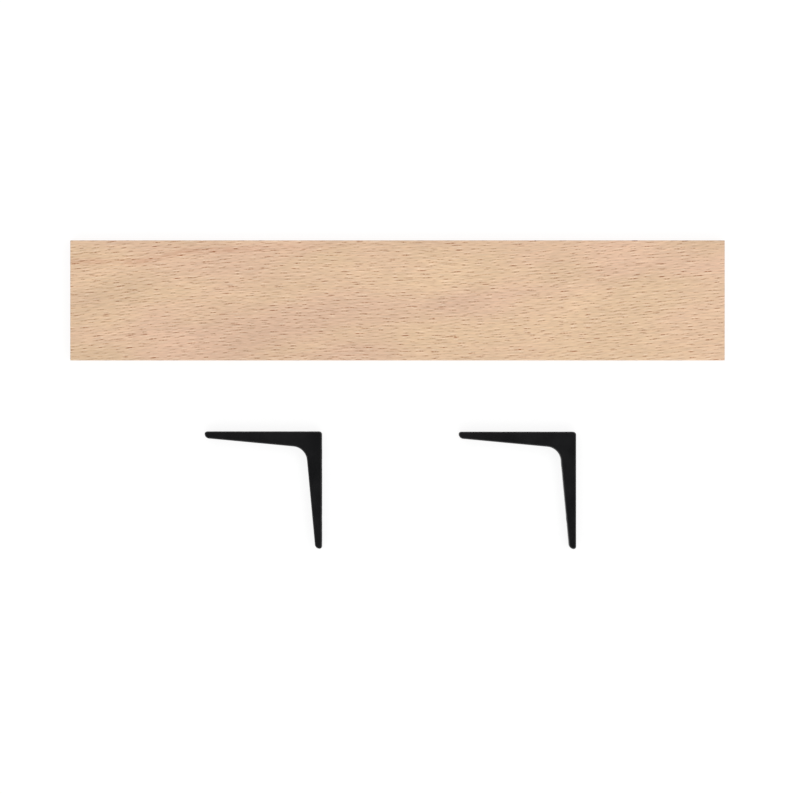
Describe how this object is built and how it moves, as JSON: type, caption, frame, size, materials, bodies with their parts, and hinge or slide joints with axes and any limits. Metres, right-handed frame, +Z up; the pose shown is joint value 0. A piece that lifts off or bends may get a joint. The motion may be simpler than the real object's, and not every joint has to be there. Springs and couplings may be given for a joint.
{
  "type": "wall shelf with brackets",
  "caption": "Solid beech shelf board with tapered black L brackets, laid out loose before it is put up; captive shelf screws sit in wells in the brackets.",
  "frame": {"origin": "middle of the laid-out kit's footprint, on the surface that it lies on", "axes": "+X along the length of the board, +Y from the brackets towards the board, +Z up through the board's thickness"},
  "size_m": [1.2, 0.566, 0.022],
  "materials": {
    "beech": "satin",
    "bracket_black": "satin",
    "zinc_steel": "satin",
    "nylon": "matte"
  },
  "bodies": {
    "board": {"board": "beech"},
    "left_bracket": {"bracket_left": "bracket_black", "left_rear_washer": "nylon", "left_front_washer": "nylon"},
    "right_bracket": {"bracket_right": "bracket_black", "right_rear_washer": "nylon", "right_front_washer": "nylon"},
    "left_rear_screw": {"left_rear_screw": "zinc_steel"},
    "left_front_screw": {"left_front_screw": "zinc_steel"},
    "right_rear_screw": {"right_rear_screw": "zinc_steel"},
    "right_front_screw": {"right_front_screw": "zinc_steel"}
  },
  "joints": [
    {"name": "left_bracket_lift", "type": "slide", "parent": "board", "child": "left_bracket", "axis": [0, 0, 1], "range_m": [0, 0.15]},
    {"name": "right_bracket_lift", "type": "slide", "parent": "board", "child": "right_bracket", "axis": [0, 0, 1], "range_m": [0, 0.15]},
    {"name": "left_rear_screw_drive", "type": "slide", "parent": "left_bracket", "child": "left_rear_screw", "axis": [0, 1, 0], "range_m": [0, 0.0105]},
    {"name": "left_front_screw_drive", "type": "slide", "parent": "left_bracket", "child": "left_front_screw", "axis": [0, 1, 0], "range_m": [0, 0.0105]},
    {"name": "right_rear_screw_drive", "type": "slide", "parent": "right_bracket", "child": "right_rear_screw", "axis": [0, 1, 0], "range_m": [0, 0.0105]},
    {"name": "right_front_screw_drive", "type": "slide", "parent": "right_bracket", "child": "right_front_screw", "axis": [0, 1, 0], "range_m": [0, 0.0105]}
  ]
}
